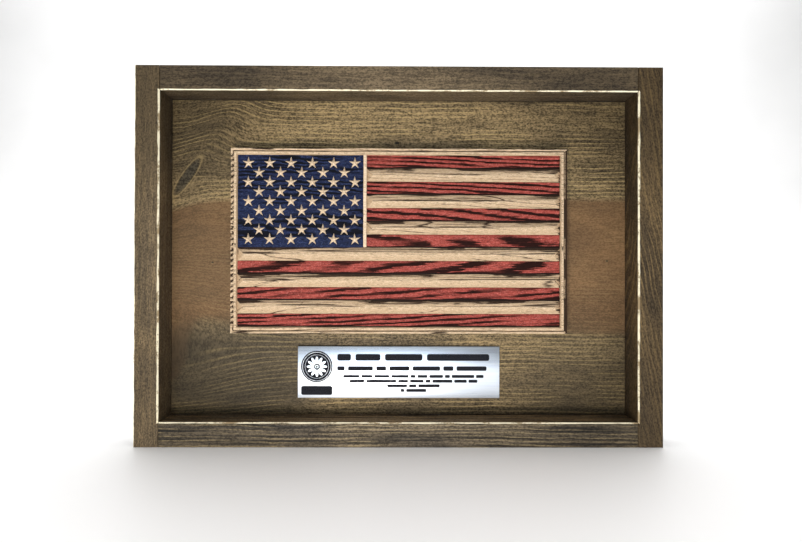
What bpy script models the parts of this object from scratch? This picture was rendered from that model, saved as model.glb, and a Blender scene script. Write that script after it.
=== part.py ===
"""Rustic pine shadow-box plaque: a carved wooden flag and a metal nameplate in a deep frame.

X runs across the front, +Z is up and the front looks along -Y.  The origin is on the
underside, at the middle of the width and of the depth of the frame boards.
Run with:  blender --background --python part.py
"""
import math

import bmesh
import bpy
from mathutils import Matrix, Vector

# Driving dimensions, in metres.

# Frame: four boards set on edge, butt jointed, with the stiles running full height.
CASE_WIDTH = 0.404
CASE_HEIGHT = 0.291
CASE_DEPTH = 0.038
BOARD_THICKNESS = 0.019
OPENING_EASE = 0.0012
OUTER_EASE = 0.0008
PANEL_THICKNESS = 0.0125

# What touches keeps this gap, and a fastener keeps it all round in its hole.
SEAT_GAP = 0.0003
HOLE_GAP = 0.0003

# Carved flag, a single board with its picture cut in relief.
FLAG_WIDTH = 0.2640
FLAG_HEIGHT = 0.1453
FLAG_THICKNESS = 0.0127
RELIEF_DEPTH = 0.0026
RIM_WIDTH = 0.0014
GROOVE_WIDTH = 0.0013
GROOVE_DEPTH = 0.0012
BEAD_WIDTH = 0.0023
BEAD_SLOPE = 0.0006
STRIPE_COUNT = 13
CANTON_STRIPES = 7
CANTON_WIDTH = 0.0988
DIVIDER_WIDTH = 0.0026
CREST_BELOW_RIM = 0.0003
EAVE_ABOVE_FIELD = 0.0005
STAR_RADIUS = 0.0046
STAR_WAIST = 0.40
STAR_COLUMNS = 6
STAR_ROWS = 9
STAR_LEFT_MARGIN = 0.0084
STAR_RIGHT_MARGIN = 0.0067
STAR_END_MARGIN = 0.0064

# Nameplate on double-sided tape.
PLATE_WIDTH = 0.1615
PLATE_HEIGHT = 0.0413
PLATE_THICKNESS = 0.0010
PLATE_EASE = 0.0003
TAPE_THICKNESS = 0.0008
TAPE_MARGIN = 0.0030

# The height left over in the opening is shared between the gaps under the plate,
# between plate and flag, and over the flag.
SHARE_UNDER_PLATE = 0.208
SHARE_PLATE_TO_FLAG = 0.170

# Finishing nails at the corners, brads round the panel.
NAIL_LENGTH = 0.045
NAIL_RADIUS = 0.0011
NAIL_HEAD_RADIUS = 0.0016
NAIL_SPACING = 0.020
BRAD_LENGTH = 0.030
BRAD_RADIUS = 0.0006
BRAD_HEAD_RADIUS = 0.0010
HEAD_SET = 0.0008
RAIL_BRAD_SHARES = (-0.33, 0.0, 0.33)
STILE_BRAD_SHARES = (-0.30, 0.30)

# Countersunk screws that hold the flag, driven from behind.
FLAG_SCREW_BITE = 0.0075
FLAG_SCREW_RADIUS = 0.00175
FLAG_SCREW_HEAD_RADIUS = 0.0035
FLAG_SCREW_INSET_SIDE = 0.030
FLAG_SCREW_INSET_END = 0.024

# Strap hangers with swinging rings on the backs of the stiles.
HANGER_DROP = 0.070
STRAP_WIDTH = 0.0110
STRAP_THICKNESS = 0.0012
STRAP_SCREW_DROP = 0.0195
RING_WIRE_RADIUS = 0.0010
RING_GAP = 0.00035
RING_REACH = 0.0130
RING_CORNER = 0.0020
HANGER_SCREW_BITE = 0.0140
HANGER_SCREW_RADIUS = 0.0016
HANGER_SCREW_HEAD_RADIUS = 0.0031
HANGER_SCREW_HEAD_HEIGHT = 0.0021
RECESS_DEPTH = 0.0013
RECESS_SLOT = 0.00045

# Roundness of turned pieces and curls.
TURN_SIDES = 12
CURL_STEPS = 16
WIRE_SIDES = 10

# Sizes that follow from the ones above.
FRONT = -CASE_DEPTH / 2
BACK = CASE_DEPTH / 2
OPEN_HALF = CASE_WIDTH / 2 - BOARD_THICKNESS
OPEN_LOW = BOARD_THICKNESS
OPEN_HIGH = CASE_HEIGHT - BOARD_THICKNESS
PANEL_FRONT = BACK - PANEL_THICKNESS
FREE_HEIGHT = OPEN_HIGH - OPEN_LOW - FLAG_HEIGHT - PLATE_HEIGHT
PLATE_LOW = OPEN_LOW + FREE_HEIGHT * SHARE_UNDER_PLATE
FLAG_LOW = PLATE_LOW + PLATE_HEIGHT + FREE_HEIGHT * SHARE_PLATE_TO_FLAG
FLAG_MIDDLE = FLAG_LOW + FLAG_HEIGHT / 2
FLAG_BACK = PANEL_FRONT - SEAT_GAP
FLAG_FRONT = FLAG_BACK - FLAG_THICKNESS
FIELD_FRONT = FLAG_FRONT + RELIEF_DEPTH
BORDER_WIDTH = RIM_WIDTH + GROOVE_WIDTH + BEAD_WIDTH
CURL_INNER = RING_WIRE_RADIUS + RING_GAP
CURL_OUTER = CURL_INNER + STRAP_THICKNESS
STRAP_BACK = BACK + SEAT_GAP + STRAP_THICKNESS
HINGE_Y = BACK + SEAT_GAP + CURL_OUTER
HINGE_Z = CASE_HEIGHT - HANGER_DROP
HANGER_X = CASE_WIDTH / 2 - BOARD_THICKNESS / 2
OVERSHOOT = 0.001

SIDES = (("left", -1), ("right", 1))
LEVELS = (("bottom", BOARD_THICKNESS / 2), ("top", CASE_HEIGHT - BOARD_THICKNESS / 2))


# Small tools for meshes and objects.

def clear_scene():
    for old in list(bpy.data.objects):
        bpy.data.objects.remove(old, do_unlink=True)


def material(name, color, roughness, metallic=0.0):
    finish = bpy.data.materials.new(name)
    finish.use_nodes = True
    shader = finish.node_tree.nodes["Principled BSDF"]
    shader.inputs["Base Color"].default_value = (*color, 1.0)
    shader.inputs["Roughness"].default_value = roughness
    shader.inputs["Metallic"].default_value = metallic
    finish.diffuse_color = (*color, 1.0)
    return finish


def finish_mesh(name, bm):
    bmesh.ops.recalc_face_normals(bm, faces=bm.faces)
    mesh = bpy.data.meshes.new(name)
    bm.to_mesh(mesh)
    bm.free()
    return mesh


def place(name, mesh, finish, matrix=None):
    """Link one object that shows the mesh, in a material slot of its own."""
    obj = bpy.data.objects.new(name, mesh)
    if not mesh.materials:
        mesh.materials.append(None)
    bpy.context.scene.collection.objects.link(obj)
    obj.material_slots[0].link = "OBJECT"
    obj.material_slots[0].material = finish
    if matrix is not None:
        obj.matrix_world = matrix
    return obj


def smooth(mesh, angle=math.radians(35)):
    mesh.shade_smooth()
    mesh.set_sharp_from_angle(angle=angle)


def hidden_cutter(name, bm):
    obj = bpy.data.objects.new(name, finish_mesh(name, bm))
    bpy.context.scene.collection.objects.link(obj)
    obj.hide_render = True
    obj.display_type = "WIRE"
    return obj


def combine(obj, tool, operation):
    step = obj.modifiers.new(tool.name, "BOOLEAN")
    step.operation = operation
    step.solver = "EXACT"
    step.object = tool


def facing(point, direction):
    """A matrix that stands a turned piece at point with its head towards direction."""
    turn = Vector(direction).to_track_quat("Z", "Y").to_matrix().to_4x4()
    return Matrix.Translation(Vector(point)) @ turn


def add_box(bm, low, high):
    low, high = Vector(low), Vector(high)
    size = high - low
    matrix = Matrix.Translation((low + high) / 2) @ Matrix.Diagonal((*size, 1.0))
    bmesh.ops.create_cube(bm, size=1.0, matrix=matrix)


def add_stack(bm, rings, matrix=None):
    """Skin a pile of rings with the same number of points, and close both ends."""
    matrix = matrix or Matrix()
    loops = [[bm.verts.new(matrix @ Vector(point)) for point in ring] for ring in rings]
    count = len(loops[0])
    for lower, upper in zip(loops, loops[1:]):
        for index in range(count):
            after = (index + 1) % count
            bm.faces.new((lower[index], lower[after], upper[after], upper[index]))
    bm.faces.new(list(reversed(loops[0])))
    bm.faces.new(loops[-1])


def circle(radius, height):
    step = math.tau / TURN_SIDES
    angles = [step * (index - 0.5) for index in range(TURN_SIDES)]
    return [(radius * math.cos(a), radius * math.sin(a), height) for a in angles]


def cross(span, slot, height):
    """A plus outline whose twelve corners line up with circle's twelve points."""
    arm = [(span, -slot), (span, slot), (slot, slot)]
    points = []
    for quarter in range(4):
        turn = Matrix.Rotation(quarter * math.pi / 2, 2)
        points += [(*(turn @ Vector(corner)), height) for corner in arm]
    return points


def rectangle(inset, y, width, height, middle):
    half_width, half_height = width / 2 - inset, height / 2 - inset
    corners = ((-1, -1), (1, -1), (1, 1), (-1, 1))
    return [(half_width * i, y, middle + half_height * j) for i, j in corners]


# Fasteners: the head's top is at height 0 and the point is below it.

def nail_rings(length, radius, head_radius, grow=0.0, top=0.0):
    """A finishing nail, or with grow the hole that it lies in."""
    tip = radius * 3
    return [
        circle(radius * 0.25 + grow, -length - grow),
        circle(radius + grow, tip - length),
        circle(radius + grow, -head_radius * 1.6 - grow),
        circle(head_radius + grow, -head_radius * 0.6 - grow),
        circle(head_radius + grow, top),
    ]


def flag_screw_rings(grow=0.0, top=0.0):
    length = PANEL_THICKNESS + SEAT_GAP + FLAG_SCREW_BITE
    cone = FLAG_SCREW_HEAD_RADIUS - FLAG_SCREW_RADIUS
    return [
        circle(FLAG_SCREW_RADIUS * 0.25 + grow, -length - grow),
        circle(FLAG_SCREW_RADIUS + grow, FLAG_SCREW_RADIUS * 3 - length),
        circle(FLAG_SCREW_RADIUS + grow, -cone - grow),
        circle(FLAG_SCREW_HEAD_RADIUS + grow, -grow),
        circle(FLAG_SCREW_HEAD_RADIUS + grow, top),
    ]


def hanger_screw_rings():
    """A pan head whose underside is at height 0."""
    head, tall = HANGER_SCREW_HEAD_RADIUS, HANGER_SCREW_HEAD_HEIGHT
    length = SEAT_GAP + STRAP_THICKNESS + SEAT_GAP + HANGER_SCREW_BITE
    return [
        circle(HANGER_SCREW_RADIUS * 0.25, -length),
        circle(HANGER_SCREW_RADIUS, HANGER_SCREW_RADIUS * 3 - length),
        circle(HANGER_SCREW_RADIUS, 0),
        circle(head, 0),
        circle(head, tall * 0.45),
        circle(head * 0.86, tall * 0.85),
        circle(head * 0.60, tall),
    ]


def hanger_screw_hole():
    length = SEAT_GAP + STRAP_THICKNESS + SEAT_GAP + HANGER_SCREW_BITE + HOLE_GAP
    radius = HANGER_SCREW_RADIUS + HOLE_GAP
    return [circle(radius, -length), circle(radius, OVERSHOOT)]


def with_recess(rings):
    """Sink a cross recess in the top of a screw head."""
    top = rings[-1]
    height = top[0][2]
    span = math.hypot(top[0][0], top[0][1]) * 0.72
    sunk = height - RECESS_DEPTH
    return rings + [cross(span, RECESS_SLOT, height), cross(span * 0.5, RECESS_SLOT * 0.7, sunk)]


def corner_nail_places():
    places = {}
    for level, z in LEVELS:
        for side, sign in SIDES:
            for depth, y in (("front", -NAIL_SPACING / 2), ("back", NAIL_SPACING / 2)):
                head = (sign * (CASE_WIDTH / 2 - HEAD_SET), y, z)
                places[f"corner_nail_{level}_{side}_{depth}"] = facing(head, (sign, 0, 0))
    return places


def panel_brad_places():
    places = {}
    y = PANEL_FRONT + PANEL_THICKNESS / 2
    for number, share in enumerate(RAIL_BRAD_SHARES, 1):
        x = share * 2 * OPEN_HALF
        places[f"panel_brad_bottom_{number}"] = facing((x, y, HEAD_SET), (0, 0, -1))
        places[f"panel_brad_top_{number}"] = facing((x, y, CASE_HEIGHT - HEAD_SET), (0, 0, 1))
    for number, share in enumerate(STILE_BRAD_SHARES, 1):
        z = CASE_HEIGHT / 2 + share * (OPEN_HIGH - OPEN_LOW)
        for side, sign in SIDES:
            head = (sign * (CASE_WIDTH / 2 - HEAD_SET), y, z)
            places[f"panel_brad_{side}_{number}"] = facing(head, (sign, 0, 0))
    return places


def flag_screw_places():
    places = {}
    rise = FLAG_HEIGHT / 2 - FLAG_SCREW_INSET_END
    reach = FLAG_WIDTH / 2 - FLAG_SCREW_INSET_SIDE
    for level, up in (("bottom", -1), ("top", 1)):
        for side, sign in SIDES:
            head = (sign * reach, BACK, FLAG_MIDDLE + up * rise)
            places[f"flag_screw_{level}_{side}"] = facing(head, (0, 1, 0))
    return places


def hanger_screw_places():
    seat = STRAP_BACK + SEAT_GAP
    z = HINGE_Z - STRAP_SCREW_DROP
    return {f"hanger_screw_{side}": facing((sign * HANGER_X, seat, z), (0, 1, 0))
            for side, sign in SIDES}


def fastener_hole_cutter():
    """One cutter with the hole of every nail, brad and screw."""
    bm = bmesh.new()
    clear = HEAD_SET + OVERSHOOT
    for matrix in corner_nail_places().values():
        rings = nail_rings(NAIL_LENGTH, NAIL_RADIUS, NAIL_HEAD_RADIUS, HOLE_GAP, clear)
        add_stack(bm, rings, matrix)
    for matrix in panel_brad_places().values():
        rings = nail_rings(BRAD_LENGTH, BRAD_RADIUS, BRAD_HEAD_RADIUS, HOLE_GAP, clear)
        add_stack(bm, rings, matrix)
    for matrix in flag_screw_places().values():
        add_stack(bm, flag_screw_rings(HOLE_GAP, OVERSHOOT), matrix)
    for matrix in hanger_screw_places().values():
        add_stack(bm, hanger_screw_hole(), matrix)
    return hidden_cutter("fastener_holes", bm)


def opening_ease_cutter():
    """A shallow frustum that eases the front edges of the opening, as sandpaper would."""
    bm = bmesh.new()
    width, height, middle = 2 * OPEN_HALF, OPEN_HIGH - OPEN_LOW, CASE_HEIGHT / 2
    outside = rectangle(-OPENING_EASE - OVERSHOOT, FRONT - OVERSHOOT, width, height, middle)
    inside = rectangle(OVERSHOOT, FRONT + OPENING_EASE + OVERSHOOT, width, height, middle)
    add_stack(bm, [outside, inside])
    return hidden_cutter("opening_ease", bm)


# Frame and panel.

def board(name, low, high, eased, finish, cutters):
    """A frame board; eased(point) is true for both ends of each edge that is softened."""
    bm = bmesh.new()
    add_box(bm, low, high)
    edges = [edge for edge in bm.edges if all(eased(vert.co) for vert in edge.verts)]
    bmesh.ops.bevel(bm, geom=edges, offset=OUTER_EASE, segments=1, profile=0.5, affect="EDGES")
    obj = place(name, finish_mesh(name, bm), finish)
    for tool in cutters:
        combine(obj, tool, "DIFFERENCE")
    return obj


def build_frame(finish, cutters):
    for side, sign in SIDES:
        outer, inner = sign * CASE_WIDTH / 2, sign * OPEN_HALF
        low = (min(outer, inner), FRONT, 0)
        high = (max(outer, inner), BACK, CASE_HEIGHT)

        def on_outer_front(co, outer=outer):
            return abs(co.x - outer) < SEAT_GAP and abs(co.y - FRONT) < SEAT_GAP

        board(f"stile_{side}", low, high, on_outer_front, finish, cutters)
    for level, z_low, outer in (("bottom", 0, 0), ("top", OPEN_HIGH, CASE_HEIGHT)):
        low = (SEAT_GAP - OPEN_HALF, FRONT, z_low)
        high = (OPEN_HALF - SEAT_GAP, BACK, z_low + BOARD_THICKNESS)

        def on_outer_front(co, outer=outer):
            return abs(co.z - outer) < SEAT_GAP and abs(co.y - FRONT) < SEAT_GAP

        board(f"rail_{level}", low, high, on_outer_front, finish, cutters)


def build_panel(finish, holes):
    bm = bmesh.new()
    low = (SEAT_GAP - OPEN_HALF, PANEL_FRONT, OPEN_LOW + SEAT_GAP)
    high = (OPEN_HALF - SEAT_GAP, BACK, OPEN_HIGH - SEAT_GAP)
    add_box(bm, low, high)
    panel = place("back_panel", finish_mesh("back_panel", bm), finish)
    combine(panel, holes, "DIFFERENCE")


# Carved flag.

FIELD_LEFT = BORDER_WIDTH - FLAG_WIDTH / 2
FIELD_RIGHT = FLAG_WIDTH / 2 - BORDER_WIDTH
FIELD_TOP = FLAG_MIDDLE + FLAG_HEIGHT / 2 - BORDER_WIDTH
STRIPE_PITCH = (FLAG_HEIGHT - 2 * BORDER_WIDTH) / STRIPE_COUNT
CANTON_BOTTOM = FIELD_TOP - CANTON_STRIPES * STRIPE_PITCH
CREST = FLAG_FRONT + CREST_BELOW_RIM
EAVE = FIELD_FRONT - EAVE_ABOVE_FIELD
SUNK = FIELD_FRONT + SEAT_GAP


def flag_board_rings():
    """The board with its rim, groove and bead, ending on the level of the sunk field."""
    steps = [
        (0, FLAG_BACK),
        (0, FLAG_FRONT),
        (RIM_WIDTH, FLAG_FRONT),
        (RIM_WIDTH + GROOVE_WIDTH / 2, FLAG_FRONT + GROOVE_DEPTH),
        (RIM_WIDTH + GROOVE_WIDTH, FLAG_FRONT),
        (BORDER_WIDTH - BEAD_SLOPE, FLAG_FRONT),
        (BORDER_WIDTH, FIELD_FRONT),
    ]
    return [rectangle(inset, y, FLAG_WIDTH, FLAG_HEIGHT, FLAG_MIDDLE) for inset, y in steps]


def add_ridge(bm, left, right, low, high):
    """A stripe shaped like a low hipped roof, with its foot sunk into the field."""
    half = (high - low) / 2
    middle = (high + low) / 2
    foot = [bm.verts.new((x, SUNK, z)) for x, z in
            ((left, low), (right, low), (right, high), (left, high))]
    eave = [bm.verts.new((vert.co.x, EAVE, vert.co.z)) for vert in foot]
    crest = [bm.verts.new((x, CREST, middle)) for x in (left + half, right - half)]
    bm.faces.new(foot)
    for index in range(4):
        after = (index + 1) % 4
        bm.faces.new((foot[index], foot[after], eave[after], eave[index]))
    bm.faces.new((eave[0], eave[1], crest[1], crest[0]))
    bm.faces.new((eave[1], eave[2], crest[1]))
    bm.faces.new((eave[2], eave[3], crest[0], crest[1]))
    bm.faces.new((eave[3], eave[0], crest[0]))


def add_star(bm, x, z):
    """A five-pointed star with a ridge along each arm that rises to its centre."""
    outline = []
    for index in range(10):
        radius = STAR_RADIUS if index % 2 == 0 else STAR_RADIUS * STAR_WAIST
        angle = math.pi / 2 + index * math.pi / 5
        outline.append((x + radius * math.cos(angle), z + radius * math.sin(angle)))
    foot = [bm.verts.new((px, SUNK, pz)) for px, pz in outline]
    eave = [bm.verts.new((px, EAVE, pz)) for px, pz in outline]
    peak = bm.verts.new((x, CREST, z))
    bm.faces.new(foot)
    for index in range(10):
        after = (index + 1) % 10
        bm.faces.new((foot[index], foot[after], eave[after], eave[index]))
        bm.faces.new((eave[index], eave[after], peak))


def star_centres():
    """Rows of six and of five stars by turns, spread over the canton."""
    step_x = (CANTON_WIDTH - STAR_LEFT_MARGIN - STAR_RIGHT_MARGIN) / (STAR_COLUMNS - 1)
    step_z = (FIELD_TOP - CANTON_BOTTOM - 2 * STAR_END_MARGIN) / (STAR_ROWS - 1)
    for row in range(STAR_ROWS):
        short = row % 2
        for column in range(STAR_COLUMNS - short):
            x = FIELD_LEFT + STAR_LEFT_MARGIN + (column + short / 2) * step_x
            yield x, FIELD_TOP - STAR_END_MARGIN - row * step_z


def build_flag(finish, holes):
    bm = bmesh.new()
    add_stack(bm, flag_board_rings())
    flag = place("carved_flag", finish_mesh("carved_flag", bm), finish)

    # Stripe ends and the divider run a little way into the bead, so that they join it.
    into_bead = BEAD_SLOPE / 2
    canton_right = FIELD_LEFT + CANTON_WIDTH
    divider_right = canton_right + DIVIDER_WIDTH

    divider = bmesh.new()
    low = (canton_right, FLAG_FRONT + CREST_BELOW_RIM, CANTON_BOTTOM)
    high = (divider_right, SUNK, FIELD_TOP + into_bead)
    add_box(divider, low, high)
    combine(flag, hidden_cutter("flag_divider", divider), "UNION")

    ridges = bmesh.new()
    for stripe in range(1, STRIPE_COUNT, 2):
        high = FIELD_TOP - stripe * STRIPE_PITCH
        beside_canton = stripe < CANTON_STRIPES
        left = divider_right - into_bead if beside_canton else FIELD_LEFT - into_bead
        add_ridge(ridges, left, FIELD_RIGHT + into_bead, high - STRIPE_PITCH, high)
    combine(flag, hidden_cutter("flag_stripes", ridges), "UNION")

    stars = bmesh.new()
    for x, z in star_centres():
        add_star(stars, x, z)
    combine(flag, hidden_cutter("flag_stars", stars), "UNION")
    combine(flag, holes, "DIFFERENCE")


# Nameplate.

def build_nameplate(plate_finish, tape_finish):
    middle = PLATE_LOW + PLATE_HEIGHT / 2
    tape_back = PANEL_FRONT - SEAT_GAP
    tape_front = tape_back - TAPE_THICKNESS
    plate_back = tape_front - SEAT_GAP
    plate_front = plate_back - PLATE_THICKNESS

    tape = bmesh.new()
    add_stack(tape, [rectangle(TAPE_MARGIN, y, PLATE_WIDTH, PLATE_HEIGHT, middle)
                     for y in (tape_back, tape_front)])
    place("nameplate_tape", finish_mesh("nameplate_tape", tape), tape_finish)

    plate = bmesh.new()
    steps = [(0, plate_back), (0, plate_front + PLATE_EASE), (PLATE_EASE, plate_front)]
    add_stack(plate, [rectangle(inset, y, PLATE_WIDTH, PLATE_HEIGHT, middle)
                      for inset, y in steps])
    place("nameplate", finish_mesh("nameplate", plate), plate_finish)


# Hangers.

def strap_outline():
    """Side view of a strap: a flat plate whose upper end curls round the hinge axis."""
    start, stop = -math.pi / 2, math.radians(205)
    steps = [start + (stop - start) * k / CURL_STEPS for k in range(CURL_STEPS + 1)]
    # The angle is measured from straight up, and turns from the board side over the top.
    outer = [(HINGE_Y + CURL_OUTER * math.sin(a), HINGE_Z + CURL_OUTER * math.cos(a))
             for a in steps]
    inner = [(HINGE_Y + CURL_INNER * math.sin(a), HINGE_Z + CURL_INNER * math.cos(a))
             for a in reversed(steps)]
    return outer, inner


def build_strap(name, x, finish, holes):
    outer, inner = strap_outline()
    foot = HINGE_Z - STRAP_SCREW_DROP - STRAP_WIDTH / 2
    bm = bmesh.new()
    outline = outer + inner + [(STRAP_BACK, foot), (BACK + SEAT_GAP, foot)]
    near = [bm.verts.new((x - STRAP_WIDTH / 2, y, z)) for y, z in outline]
    face = bm.faces.new(near)
    grown = bmesh.ops.extrude_face_region(bm, geom=[face])
    moved = [item for item in grown["geom"] if isinstance(item, bmesh.types.BMVert)]
    bmesh.ops.translate(bm, verts=moved, vec=(STRAP_WIDTH, 0, 0))

    # Round the foot of the plate about the screw.
    corners = [edge for edge in bm.edges
               if all(abs(vert.co.z - foot) < SEAT_GAP for vert in edge.verts)
               and abs(edge.verts[0].co.x - edge.verts[1].co.x) < SEAT_GAP]
    bmesh.ops.bevel(bm, geom=corners, offset=STRAP_WIDTH * 0.42, segments=5, profile=0.5,
                    affect="EDGES")
    mesh = finish_mesh(name, bm)
    smooth(mesh)
    strap = place(name, mesh, finish)
    combine(strap, holes, "DIFFERENCE")


def ring_centre_line():
    """A closed D: a straight bar on the hinge axis, then an arch that hangs below it."""
    corner = RING_CORNER
    half = STRAP_WIDTH / 2 + RING_GAP + corner
    points = []
    for step in range(5):
        angle = math.pi / 2 * step / 4
        points.append((half - corner + corner * math.sin(angle), corner * math.cos(angle) - corner))
    deep = RING_REACH - corner
    for step in range(1, 16):
        angle = math.pi * step / 16
        points.append((half * math.cos(angle), -corner - deep * math.sin(angle)))
    for step in range(5):
        angle = math.pi / 2 * step / 4
        points.append((-half + corner - corner * math.cos(angle), corner * math.sin(angle) - corner))
    return [Vector((x, 0, z)) for x, z in points]


def ring_mesh():
    """Round wire swept along the closed centre line."""
    path = ring_centre_line()
    bm = bmesh.new()
    loops = []
    for index, point in enumerate(path):
        along = (path[(index + 1) % len(path)] - path[index - 1]).normalized()
        across = Vector((along.z, 0, -along.x))
        loop = []
        for side in range(WIRE_SIDES):
            angle = math.tau * side / WIRE_SIDES
            offset = across * math.cos(angle) + Vector((0, 1, 0)) * math.sin(angle)
            loop.append(bm.verts.new(point + offset * RING_WIRE_RADIUS))
        loops.append(loop)
    for index, loop in enumerate(loops):
        beyond = loops[(index + 1) % len(loops)]
        for side in range(WIRE_SIDES):
            after = (side + 1) % WIRE_SIDES
            bm.faces.new((loop[side], loop[after], beyond[after], beyond[side]))
    mesh = finish_mesh("hanger_ring", bm)
    smooth(mesh)
    return mesh


def build_hangers(finish, holes):
    shared_ring = ring_mesh()
    for side, sign in SIDES:
        x = sign * HANGER_X
        build_strap(f"hanger_strap_{side}", x, finish, holes)
        hinge = Matrix.Translation((x, HINGE_Y, HINGE_Z))
        place(f"hanger_ring_{side}", shared_ring, finish, hinge)


def build_fasteners(steel):
    kinds = (
        ("corner_nail", corner_nail_places(),
         nail_rings(NAIL_LENGTH, NAIL_RADIUS, NAIL_HEAD_RADIUS)),
        ("panel_brad", panel_brad_places(),
         nail_rings(BRAD_LENGTH, BRAD_RADIUS, BRAD_HEAD_RADIUS)),
        ("flag_screw", flag_screw_places(), with_recess(flag_screw_rings())),
        ("hanger_screw", hanger_screw_places(), with_recess(hanger_screw_rings())),
    )
    for kind, places, rings in kinds:
        bm = bmesh.new()
        # A countersunk screw's rim and its top share a height, so rings that meet are merged.
        add_stack(bm, rings)
        bmesh.ops.remove_doubles(bm, verts=bm.verts, dist=1e-6)
        mesh = finish_mesh(kind, bm)
        smooth(mesh)
        for name, matrix in places.items():
            place(name, mesh, steel, matrix)


def main():
    clear_scene()
    stained_pine = material("stained_pine", (0.105, 0.075, 0.045), 0.62)
    panel_pine = material("panel_pine", (0.16, 0.115, 0.07), 0.58)
    flag_wood = material("flag_wood", (0.30, 0.10, 0.07), 0.55)
    brushed = material("brushed_aluminium", (0.72, 0.76, 0.82), 0.30, 1.0)
    foam = material("foam_tape", (0.75, 0.75, 0.72), 0.9)
    nickel = material("nickel_plate", (0.62, 0.60, 0.56), 0.28, 1.0)
    steel = material("bright_steel", (0.48, 0.47, 0.45), 0.38, 1.0)

    holes = fastener_hole_cutter()
    ease = opening_ease_cutter()
    build_frame(stained_pine, (ease, holes))
    build_panel(panel_pine, holes)
    build_flag(flag_wood, holes)
    build_nameplate(brushed, foam)
    build_fasteners(steel)
    build_hangers(nickel, holes)


main()
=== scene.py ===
# %% [markdown]
# # A framed plaque with a carved flag
# A deep pine frame holds a wide pine board.  A flag carved from one piece of coarse-grained
# wood hangs on the board, with a brushed metal nameplate under it.  The sizes and the places
# of all parts come from a finished mechanical model, which is loaded first.  The cells below
# give each part its worn edges, its grain and its finish.

# %% Load the mechanical model
import math

import bmesh
import bpy
from mathutils import Matrix, Vector, noise


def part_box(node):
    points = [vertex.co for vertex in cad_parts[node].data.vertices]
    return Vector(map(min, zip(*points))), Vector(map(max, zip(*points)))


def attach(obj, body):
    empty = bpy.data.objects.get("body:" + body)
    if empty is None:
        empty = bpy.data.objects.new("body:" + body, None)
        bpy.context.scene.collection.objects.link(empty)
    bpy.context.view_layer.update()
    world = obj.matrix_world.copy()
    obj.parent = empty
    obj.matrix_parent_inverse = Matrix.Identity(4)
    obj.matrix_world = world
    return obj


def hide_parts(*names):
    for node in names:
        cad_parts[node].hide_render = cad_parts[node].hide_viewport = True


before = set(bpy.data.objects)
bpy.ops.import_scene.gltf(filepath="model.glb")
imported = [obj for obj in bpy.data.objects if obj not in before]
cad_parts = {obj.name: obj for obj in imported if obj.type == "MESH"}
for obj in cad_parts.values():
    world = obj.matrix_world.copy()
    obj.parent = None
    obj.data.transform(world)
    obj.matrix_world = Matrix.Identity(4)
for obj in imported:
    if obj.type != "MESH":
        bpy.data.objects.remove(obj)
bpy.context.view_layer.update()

MM = 0.001
# Noise vectors start from the clock unless they are given a seed, and the wood has to come out
# the same each time.
noise.seed_set(7)

# %% [markdown]
# ## Camera
# The plaque is seen straight on from about half a metre, with the short lens of a phone.
# The camera is placed from the front face: a little low of the middle, and turned by
# a fraction of a degree, because nobody holds a phone quite square.

# %% Camera
FRAME_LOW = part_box("stile_left")[0]
FRAME_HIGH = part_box("stile_right")[1]
FRAME_FRONT = FRAME_LOW.y

EYE_DISTANCE = 446 * MM
EYE_HEIGHT = 132 * MM
EYE_SIDE = -1.5 * MM
HEADING, TILT, ROLL = math.radians(-0.38), math.radians(0.31), math.radians(0.15)

bpy.ops.object.camera_add()
camera = bpy.context.object
camera.data.sensor_width = 36
camera.data.lens = 26.26
camera.data.clip_start = 10 * MM
stand = Matrix.Translation((EYE_SIDE, FRAME_FRONT - EYE_DISTANCE, EYE_HEIGHT))
turn = Matrix.Rotation(HEADING, 4, "Z") @ Matrix.Rotation(math.pi / 2 + TILT, 4, "X")
camera.matrix_world = stand @ turn @ Matrix.Rotation(ROLL, 4, "Z")
bpy.context.scene.camera = camera
bpy.context.scene.view_settings.view_transform = "Standard"
print("camera at", [round(v, 3) for v in camera.location])

# %% [markdown]
# ## Stage and light
# A pale sweep stands under and behind the plaque.  The main light is low and in front, a
# little to the left, so that the ridges of the carving shine along their lower sides and the
# bottom rail throws a narrow shadow up the board.  It shines from under the level of the
# floor, so the floor is set to throw no shadow.  A wide, cool card further off shows as a
# reflection in the nameplate.  A softbox overhead lights the sweep, and a pale surround fills
# the rest.

# %% Stage
def select_only(thing):
    bpy.ops.object.select_all(action="DESELECT")
    thing.select_set(True)
    bpy.context.view_layer.objects.active = thing


SWEEP_SIZE, SWEEP_RISE, SWEEP_CURVE = 6, 4, 1.6
SWEEP_BACK = SWEEP_SIZE / 2 - 0.1

bpy.ops.mesh.primitive_plane_add(size=SWEEP_SIZE)
sweep = bpy.context.object
sweep.name = "sweep"
bpy.ops.object.mode_set(mode="EDIT")
bpy.ops.mesh.select_all(action="DESELECT")
shape = bmesh.from_edit_mesh(sweep.data)
bpy.ops.mesh.select_mode(type="EDGE")
for edge in shape.edges:
    edge.select_set(all(vert.co.y > SWEEP_BACK for vert in edge.verts))
bmesh.update_edit_mesh(sweep.data)
bpy.ops.mesh.extrude_region_move(TRANSFORM_OT_translate={"value": (0, 0, SWEEP_RISE)})
shape = bmesh.from_edit_mesh(sweep.data)
for edge in shape.edges:
    edge.select_set(all(vert.co.y > SWEEP_BACK and vert.co.z < 0.1 for vert in edge.verts))
bmesh.update_edit_mesh(sweep.data)
bpy.ops.mesh.bevel(offset=SWEEP_CURVE, segments=24, affect="EDGES")
bpy.ops.object.mode_set(mode="OBJECT")
bpy.ops.object.shade_smooth()
sweep.visible_shadow = False


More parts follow.
